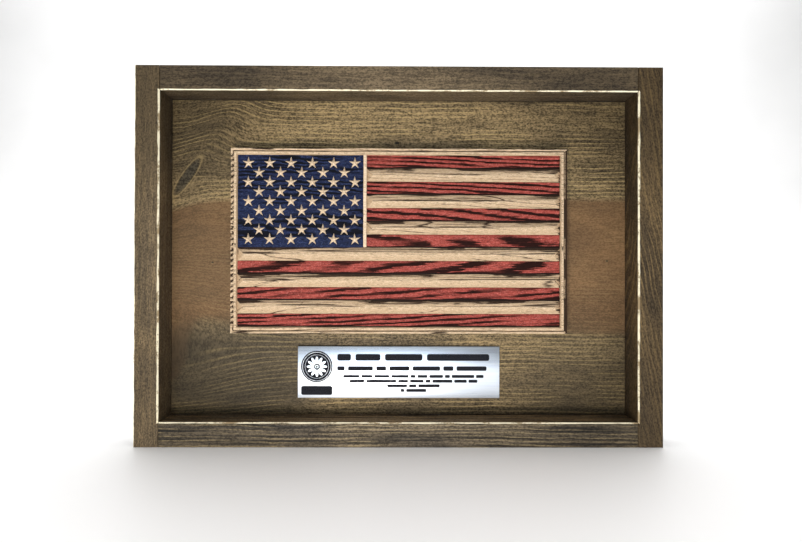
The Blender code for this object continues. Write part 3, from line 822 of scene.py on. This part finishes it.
red_paint = carved("red_paint", (0.45, 0.082, 0.062), (0.200, 0.034, 0.026), (0.66, 0.20, 0.165),
                   (0.014, 0.004, 0.003), (0.48, 0.93), (0.34, 0.50))
blue_paint = carved("blue_paint", (0.016, 0.025, 0.080), (0.006, 0.008, 0.024),
                    (0.058, 0.086, 0.185), (0.0035, 0.004, 0.007), (0.40, 0.93), (0.42, 0.54),
                    wavy=2.4)
bare_wood = carved("bare_wood", (0.75, 0.56, 0.370), (0.48, 0.335, 0.205), (0.90, 0.73, 0.53),
                   (0.013, 0.006, 0.004), (0.84, 0.94), (0.42, 0.55), fray=0.40,
                   painted_shade_tone=(0.42, 0.275, 0.16))
star_wood = carved("star_wood", (0.88, 0.69, 0.49), (0.68, 0.50, 0.33), (0.97, 0.82, 0.64),
                   (0.10, 0.06, 0.035), (0.86, 0.94), (0.50, 0.60), fray=0.40)
print("mixed the paints; heart of the tree at", round(HEART_LEVEL, 4))

# %% [markdown]
# ## Carved flag: the pieces
# The picture is cut in a border with an outer rim, a groove and a round bead.  The red
# stripes and the star field are low and flat.  Each bare stripe rises to a crest and falls
# away at its ends like a hipped roof: insetting the front face by half its height folds it
# up into exactly that shape.

# %% Border
RIM, GROOVE, BEAD, BEAD_SLOPE = 1.4 * MM, 1.3 * MM, 2.3 * MM, 0.6 * MM
GROOVE_DEPTH = 1.2 * MM
BORDER = RIM + GROOVE + BEAD
STRIPES, CANTON_STRIPES = 13, 7
FIELD_LEFT, FIELD_RIGHT = FLAG_LOW.x + BORDER, FLAG_HIGH.x - BORDER
FIELD_BOTTOM, FIELD_TOP = FLAG_LOW.z + BORDER, FLAG_HIGH.z - BORDER
ROPE = RIM + GROOVE - 0.3 * MM
NOTCH_STEP, NOTCH_SLANT = 4.1 * MM, 0.6
PITCH = (FIELD_TOP - FIELD_BOTTOM) / STRIPES
CANTON_RIGHT = FIELD_LEFT + 98.8 * MM
DIVIDER = 2.6 * MM
FIELD = FLAG_FRONT + RELIEF


def step_in(piece, level, width, move):
    """Inset the face that looks forward at a level, and move the new face in depth."""
    pick(piece, "FACE", lambda place, normal: normal.y < -0.9 and abs(place.y - level) < 0.1 * MM
         and abs(place.x) < 1 * MM and abs(place.z - (FLAG_LOW.z + FLAG_HIGH.z) / 2) < 1 * MM)
    bpy.ops.mesh.inset(thickness=width, depth=0)
    if move:
        bpy.ops.transform.translate(value=(0, move, 0))
    done()


def wobble(piece, amount, scale=60):
    """Let the carving knife wander: push points sideways by smooth noise."""
    for vert in piece.data.vertices:
        side = noise.noise_vector(vert.co * scale)
        vert.co.x += amount * side.x
        vert.co.z += amount * side.z


def from_ends(place):
    """How far a place lies in from the nearer of the flag's top and bottom."""
    return min(place.z - FLAG_LOW.z, FLAG_HIGH.z - place.z)


def in_rope(place):
    """Whether a place lies in the notched strip at the left, clear of the corners."""
    return place.x - FLAG_LOW.x < ROPE and from_ends(place) > BORDER


def notch(place):
    """How deep a place of the notched strip lies in one of its slanting notches."""
    phase = (place.z - NOTCH_SLANT * (place.x - FLAG_LOW.x)) / NOTCH_STEP
    phase = (phase + 0.35 * drift(0, 0, place.z * 110)) % 1.0
    return smooth_between(phase, 0.34, 0.44) * (1 - smooth_between(phase, 0.90, 1.0))


def rope(piece):
    """Fill the groove at the left, and cut the notches there."""
    for vert in piece.data.vertices:
        place = vert.co
        if in_rope(place) and place.y < FLAG_FRONT + GROOVE_DEPTH + 0.1 * MM:
            place.y = FLAG_FRONT + 0.15 * MM + 0.9 * MM * notch(place)


def border_soot_and_shadow(place, normal):
    """Soot lies in the notches and in patches on the rim.  Painted shade darkens the groove, the
    back of the outer edge, and the outer rim at the right, which lies in shadow.
    """
    if in_rope(place):
        return notch(place), 0.15
    from_side, from_end = FLAG_HIGH.x - abs(place.x), from_ends(place)
    inset = min(from_side, from_end)
    # Painted shade darkens the back of the outer edge and, below, the floor of the groove.
    if inset < 0.3 * MM and place.y > FLAG_FRONT + 0.5 * MM:
        return 0.65, 0.7
    if place.y > FLAG_FRONT + 0.5 * MM and inset < BORDER - BEAD:
        return 0.95, 0.5
    if inset < RIM + 0.2 * MM:
        # Painted shade: the outer rim at the right lies in shadow and goes black.
        if place.x > 0 and from_side < from_end:
            return 1.0, 0.8
        return 0.45 + 0.55 * noise.noise(place * 45), 0.1
    return 0.0, 0.0


def flag_border():
    piece = add_block("flag_border", FLAG_LOW, FLAG_HIGH)
    step_in(piece, FLAG_FRONT, RIM, 0)
    step_in(piece, FLAG_FRONT, GROOVE / 2, GROOVE_DEPTH)
    step_in(piece, FLAG_FRONT + GROOVE_DEPTH, GROOVE / 2, -GROOVE_DEPTH)
    step_in(piece, FLAG_FRONT, BEAD - BEAD_SLOPE, 0)
    step_in(piece, FLAG_FRONT, BEAD_SLOPE, RELIEF)
    soften(piece, 0.35 * MM, 2, angle=40)
    slice_along(piece, 0, 1.6 * MM)
    slice_along(piece, 2, 0.6 * MM)
    rope(piece)
    wobble(piece, 0.20 * MM)
    grain_points(piece, 0.12 * MM, border_soot_and_shadow)
    settle(piece, bare_wood, node="carved_flag", angle=50)


flag_border()

# %% Stripes
def stripe_span(number):
    """The left, right, lower and upper edge of a stripe, counted from the top."""
    upper = FIELD_TOP - number * PITCH
    left = CANTON_RIGHT + DIVIDER if number < CANTON_STRIPES else FIELD_LEFT
    return left, FIELD_RIGHT, upper - PITCH, upper


def red_stripe(number):
    left, right, lower, upper = stripe_span(number)
    stripe = add_block("red", (left - 0.2 * MM, FIELD - 0.4 * MM, lower + 0.5 * MM),
                       (right - 0.3 * MM, FIELD + 0.4 * MM, upper - 0.05 * MM))
    soften(stripe, 0.5 * MM, 2)
    slice_finely(stripe)
    for vert in stripe.data.vertices:
        # The knife left an uneven gap along the lower edge, and its floor is painted black as
        # shade.
        share = 1 - smooth_between(vert.co.z, lower + 0.9 * MM, lower + 2.6 * MM)
        uneven = drift(vert.co.x * 32, number * 7.0, 0)
        vert.co.z += share * 0.75 * MM * (0.5 + uneven)
    return stripe


def red_painted_shadow(place, normal):
    """Painted shadow: the stripes go dark along their lower edges, where the ridge below throws its
    shadow.
    """
    level = (FIELD_TOP - place.z) / PITCH % 2
    uneven = 0.12 * drift(place.x * 35, 0.7, place.z * 20)
    return 0.95 * smooth_between(level + uneven, 0.80, 0.92), 0.0


def ridge_painted_shade(place, normal):
    """Painted shade: the upper slope of each ridge, which faces away from the light, goes dark
    towards its foot, and the end slopes and the right end by the bead are darkened too.
    """
    deep = (place.y - FLAG_FRONT) / RELIEF
    facing_up = smooth_between(normal.z, 0.02, 0.22)
    facing_end = smooth_between(abs(normal.x), 0.10, 0.25)
    uneven = 0.30 * drift(place.x * 20, 0.2, place.z * 40)
    uneven += 0.10 * drift(place.x * 60, 0.6, place.z * 90)
    soot_and_shadow = facing_up * (0.35 + 0.62 * smooth_between(deep + uneven, 0.70, 0.90))
    if FIELD_RIGHT - place.x < 1.0 * MM:
        soot_and_shadow = max(soot_and_shadow, 0.75 + 0.6 * drift(0.3, 0.9, place.z * 260))
    return soot_and_shadow, max(0.08 * facing_up, 0.60 * facing_end)


def white_stripe(number):
    left, right, lower, upper = stripe_span(number)
    stripe = add_block("white", (left - 0.1 * MM, FIELD - 0.35 * MM, lower),
                       (right + 0.1 * MM, FIELD + 0.4 * MM, upper))
    pick(stripe, "FACE", lambda place, normal: normal.y < -0.9)
    bpy.ops.mesh.inset(thickness=PITCH / 2 - 0.25 * MM, depth=0)
    bpy.ops.transform.translate(value=(0, -(RELIEF - 0.80 * MM), 0))
    done()
    soften(stripe, 0.25 * MM, 2, angle=15)
    slice_finely(stripe)
    return stripe


reds = join_all("flag_red_stripes", [red_stripe(n) for n in range(0, STRIPES, 2)])
wobble(reds, 0.10 * MM)
grain_points(reds, 0.22 * MM, red_painted_shadow)
settle(reds, red_paint, angle=50)

whites = join_all("flag_white_stripes", [white_stripe(n) for n in range(1, STRIPES, 2)])
wobble(whites, 0.12 * MM)
grain_points(whites, 0.10 * MM, ridge_painted_shade)
settle(whites, bare_wood, angle=50)

# %% [markdown]
# The star field is a flat block, and the bead beside it is a narrow one.  One star is cut
# from a ten-sided disc: every other point is drawn in, the centre is pulled forward, and the
# rim is extruded back into the field.  It is then copied to its fifty places in rows of six
# and five.

# %% Star field and stars
CANTON_BOTTOM = FIELD_TOP - CANTON_STRIPES * PITCH

canton = add_block("flag_star_field", (FIELD_LEFT - 0.2 * MM, FIELD - 0.3 * MM, CANTON_BOTTOM),
                   (CANTON_RIGHT + 0.2 * MM, FIELD + 0.4 * MM, FIELD_TOP + 0.2 * MM))
soften(canton, 0.4 * MM, 2)
slice_finely(canton)
grain_points(canton, 0.20 * MM)
settle(canton, blue_paint, angle=50)

divider = add_block("flag_divider",
                    (CANTON_RIGHT, FLAG_FRONT + 0.25 * MM, CANTON_BOTTOM + 0.2 * MM),
                    (CANTON_RIGHT + DIVIDER, FIELD + 0.4 * MM, FIELD_TOP + 0.3 * MM))
soften(divider, 0.6 * MM, 3)
slice_along(divider, 2, 1.2 * MM)
wobble(divider, 0.15 * MM)
grain_points(divider, 0.05 * MM)
settle(divider, star_wood, angle=50)

STAR_RADIUS, STAR_WAIST = 4.9 * MM, 0.345
STAR_COLUMNS, STAR_ROWS = 6, 9
STAR_LEFT, STAR_RIGHT, STAR_END = 8.4 * MM, 6.7 * MM, 6.4 * MM
STAR_PEAK, STAR_EDGE, STAR_ROOT = 2.15 * MM, 0.45 * MM, 1.6 * MM


def angle_of(place):
    return math.atan2(place.z, place.x)


def first_star():
    bpy.ops.mesh.primitive_circle_add(vertices=10, radius=STAR_RADIUS, fill_type="TRIFAN",
                                      rotation=(math.pi / 2, 0, 0))
    star = bpy.context.object
    bpy.ops.object.transform_apply(rotation=True)
    top = max(star.data.vertices, key=lambda vert: vert.co.z)
    for vert in star.data.vertices:
        if vert.co.length < 0.1 * MM:
            vert.co.y = -STAR_PEAK
            continue
        vert.co.y = -STAR_EDGE
        step = round((angle_of(vert.co) - angle_of(top.co)) / (math.pi / 5))
        if step % 2:
            vert.co.x *= STAR_WAIST
            vert.co.z *= STAR_WAIST
    lean = math.pi / 2 - angle_of(top.co)
    select_only(star)
    star.rotation_euler = (0, -lean, 0)
    bpy.ops.object.transform_apply(rotation=True)
    bpy.ops.object.mode_set(mode="EDIT")
    bpy.ops.mesh.select_all(action="SELECT")
    bpy.ops.mesh.normals_make_consistent(inside=False)
    bpy.ops.mesh.region_to_loop()
    bpy.ops.mesh.extrude_region_move(TRANSFORM_OT_translate={"value": (0, STAR_ROOT, 0)})
    bpy.ops.mesh.edge_face_add()
    bpy.ops.mesh.select_all(action="SELECT")
    bpy.ops.mesh.normals_make_consistent(inside=False)
    done()
    soften(star, 0.08 * MM, 1, angle=25)
    return star


def star_places():
    step_x = (CANTON_RIGHT - FIELD_LEFT - STAR_LEFT - STAR_RIGHT) / (STAR_COLUMNS - 1)
    step_z = (CANTON_STRIPES * PITCH - 2 * STAR_END) / (STAR_ROWS - 1)
    for row in range(STAR_ROWS):
        short = row % 2
        for column in range(STAR_COLUMNS - short):
            yield (FIELD_LEFT + STAR_LEFT + (column + short / 2) * step_x,
                   FIELD_TOP - STAR_END - row * step_z)


pattern = first_star()
stars = []
for count, (x, z) in enumerate(star_places()):
    star = copy_of(pattern, f"star_{count}")
    lean = 0.10 * drift(count * 1.7, 0.3, 0)
    star.matrix_world = Matrix.Translation((x, FIELD - 0.3 * MM, z)) @ Matrix.Rotation(lean, 4, "Y")
    stars.append(star)
bpy.data.objects.remove(pattern)
stars = join_all("flag_stars", stars)
select_only(stars)
bpy.ops.object.transform_apply(location=True, rotation=True, scale=True)
wobble(stars, 0.10 * MM, 300)
grain_points(stars, 0.05 * MM)
settle(stars, star_wood)

# %% [markdown]
# ## Nameplate
# The plate is thin aluminium, brushed from side to side and lacquered.  The brushing is a
# noise that is stretched along the plate, in the roughness and as a very shallow bump.  A
# round rosette and plain bars stand for the printed marks.

# %% Nameplate
PLATE_LOW, PLATE_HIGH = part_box("nameplate")


def brushed_metal():
    finish = Finish("brushed_plate")
    lines = finish.cloud((14, 400, 5200), 4.0, 0.7)
    sheen = finish.cloud((5, 5, 60), 2.0)
    # Painted reflection: the blue cast of the plate's colour stands for the cool surround that it
    # mirrors.
    color = finish.blend(finish.soft_step(lines, 0.3, 0.7), (0.76, 0.83, 0.96), (0.90, 0.95, 1.0))
    gloss = finish.plus(finish.soft_step(lines, 0.3, 0.7, 0.24, 0.34),
                        finish.times(sheen, 0.06))
    return finish.surface(Base_Color=color, Metallic=1.0, Roughness=gloss, Anisotropic=0.5,
                          Normal=finish.bump(lines, 0.12, 0.02 * MM))


def print_ink():
    finish = Finish("plate_ink")
    grainy = finish.cloud((1500, 1500, 1500), 2.0)
    color = finish.blend(finish.soft_step(grainy, 0.35, 0.65),
                         (0.012, 0.012, 0.016), (0.028, 0.029, 0.034))
    return finish.surface(Base_Color=color, Roughness=0.8, Specular_IOR_Level=0.02)


plate_finish, ink = brushed_metal(), print_ink()
plate = add_block("plate", PLATE_LOW, PLATE_HIGH)
soften(plate, 0.28 * MM, 2)
settle(plate, plate_finish, node="nameplate")

# %% [markdown]
# The marks are thin films that stand a hair above the plate.  The six rows keep the layout
# of a dedication: a tall row, a middling one, and four small ones that are centred.

# %% Printed marks
INK_HEIGHT, INK_ROOT = 0.06 * MM, 0.05 * MM
PLATE_FACE = PLATE_LOW.y
ROW_LEFT = PLATE_LOW.x + 31.5 * MM
ROW_MIDDLE = PLATE_LOW.x + 92.5 * MM


def ink_bar(left, right, low, high, round_off):
    bar = add_block("bar", (left, PLATE_FACE - INK_HEIGHT, low),
                    (right, PLATE_FACE + INK_ROOT, high))
    pick(bar, "EDGE", lambda place, run: abs(run.y) > 0.02 * MM)
    bpy.ops.mesh.bevel(offset=round_off, segments=4, affect="EDGES")
    done()
    return bar


# Each row, in millimetres: how far down, how tall, the space between bars, the bars' widths.
LEFT_ROWS = (
    (8.8, 5.4, 3.6, (11, 20, 30, 50)),
    (17.7, 3.5, 2.6, (6, 20, 8, 16, 22, 8, 24)),
)
CENTRED_ROWS = (
    (24.0, 2.4, 1.5, (13, 9, 12, 14, 4, 8, 11, 4, 18, 6)),
    (27.8, 2.4, 1.5, (12, 24, 8, 11, 4, 16, 10, 7)),
    (31.5, 2.4, 1.5, (16, 6, 17)),
    (35.2, 2.4, 1.5, (3, 16)),
)


def ink_row(down, tall, space, widths, centred):
    """A row of bars, from the left or about the middle of the rows."""
    total = (sum(widths) + space * (len(widths) - 1)) * MM
    at = ROW_MIDDLE - total / 2 if centred else ROW_LEFT
    middle, half = PLATE_HIGH.z - down * MM, tall * MM / 2
    bars = []
    for width in widths:
        bars.append(ink_bar(at, at + width * MM, middle - half, middle + half, 0.6 * half))
        at += (width + space) * MM
    return bars


bars = [bar for row in LEFT_ROWS for bar in ink_row(*row, centred=False)]
bars += [bar for row in CENTRED_ROWS for bar in ink_row(*row, centred=True)]
settle(join_all("plate_rows", bars), ink)

# %% [markdown]
# The rosette is a dark disc with two rings and twelve petals, which is a stock ornament for
# plates.  A plain dark bar sits under it.

# %% Rosette
ROSETTE_X, ROSETTE_Z = PLATE_LOW.x + 15.2 * MM, PLATE_HIGH.z - 16.2 * MM
ROSETTE_RADIUS, PETALS, PETAL_REACH = 12.6 * MM, 12, 5.2 * MM
PETAL_SIZE = (3.0 * MM, 0.16 * MM, 1.15 * MM)
BADGE_HALF, BADGE_LOW, BADGE_HIGH = 12.4 * MM, 2.4 * MM, 9.6 * MM


def ink_disc(radius):
    middle = PLATE_FACE - (INK_HEIGHT - INK_ROOT) / 2
    bpy.ops.mesh.primitive_cylinder_add(vertices=64, radius=radius, depth=INK_HEIGHT + INK_ROOT,
                                        location=(ROSETTE_X, middle, ROSETTE_Z),
                                        rotation=(math.pi / 2, 0, 0))
    disc = bpy.context.object
    soften(disc, 0.02 * MM, 1)
    return disc


def ring(radius, thick):
    bpy.ops.mesh.primitive_torus_add(major_radius=radius, minor_radius=thick, major_segments=64,
                                     minor_segments=8, rotation=(math.pi / 2, 0, 0),
                                     location=(ROSETTE_X, PLATE_FACE - INK_HEIGHT, ROSETTE_Z))
    return bpy.context.object


def petal(angle):
    place = (ROSETTE_X + PETAL_REACH * math.cos(angle), PLATE_FACE - INK_HEIGHT,
             ROSETTE_Z + PETAL_REACH * math.sin(angle))
    bpy.ops.mesh.primitive_uv_sphere_add(segments=16, ring_count=10, radius=1, location=place)
    leaf = bpy.context.object
    leaf.scale = PETAL_SIZE
    leaf.rotation_euler = (0, -angle, 0)
    bpy.ops.object.transform_apply(location=True, rotation=True, scale=True)
    return leaf


badge = ink_bar(ROSETTE_X - BADGE_HALF, ROSETTE_X + BADGE_HALF,
                PLATE_LOW.z + BADGE_LOW, PLATE_LOW.z + BADGE_HIGH, 1.6 * MM)
ground = join_all("plate_rosette_ground", [ink_disc(ROSETTE_RADIUS), badge])
settle(ground, ink)

bright = [ring(11.4 * MM, 0.22 * MM), ring(9.4 * MM, 0.14 * MM)]
bright += [petal(math.tau * step / PETALS) for step in range(PETALS)]
bright.append(ring(1.1 * MM, 0.55 * MM))
settle(join_all("plate_rosette_lines", bright), plate_finish, angle=60)

# %% [markdown]
# ## Hardware
# Behind the frame, two nickel-plated straps hold swinging rings.  The nails and the flag's
# screws are plain steel, and foam tape holds the nameplate.  All keep their shapes and get a
# real surface: faint marks, and a roughness that changes a little from place to place.

# %% Metals
def plated(name, tint, gloss, mark_scale):
    finish = Finish(name)
    marks = finish.cloud((mark_scale, mark_scale, mark_scale * 3), 3.0, 0.6)
    cloudy = finish.cloud((160, 160, 160), 2.0)
    color = finish.blend(finish.soft_step(cloudy, 0.3, 0.7), scaled(tint, 0.86), tint)
    rough = finish.soft_step(marks, 0.3, 0.7, gloss - 0.06, gloss + 0.10)
    return finish.surface(Base_Color=color, Metallic=1.0, Roughness=rough,
                          Normal=finish.bump(marks, 0.08, 0.02 * MM))


nickel = plated("nickel", (0.70, 0.67, 0.61), 0.24, 700)
steel = plated("steel", (0.52, 0.51, 0.49), 0.36, 900)
foam = Finish("foam_tape")
cells = foam.cloud((1800, 1800, 1800), 2.0)
foam_finish = foam.surface(
    Base_Color=foam.blend(foam.soft_step(cells, 0.3, 0.7), (0.62, 0.61, 0.58), (0.80, 0.79, 0.76)),
    Roughness=0.92, Normal=foam.bump(cells, 0.5, 0.1 * MM))
for node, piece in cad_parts.items():
    if piece.hide_render:
        continue
    metal = foam_finish if node == "nameplate_tape" else nickel if "hanger" in node else steel
    for place in piece.material_slots:
        place.material = metal
print("metals on the nodes that keep their shape")

# %% Finish
pale = Finish("pale_sweep")
tone = pale.cloud((2, 2, 2), 2.0)
sweep.data.materials.append(pale.surface(
    Base_Color=pale.blend(pale.soft_step(tone, 0.3, 0.7), (0.86, 0.86, 0.86), (0.90, 0.90, 0.90)),
    Roughness=0.5))
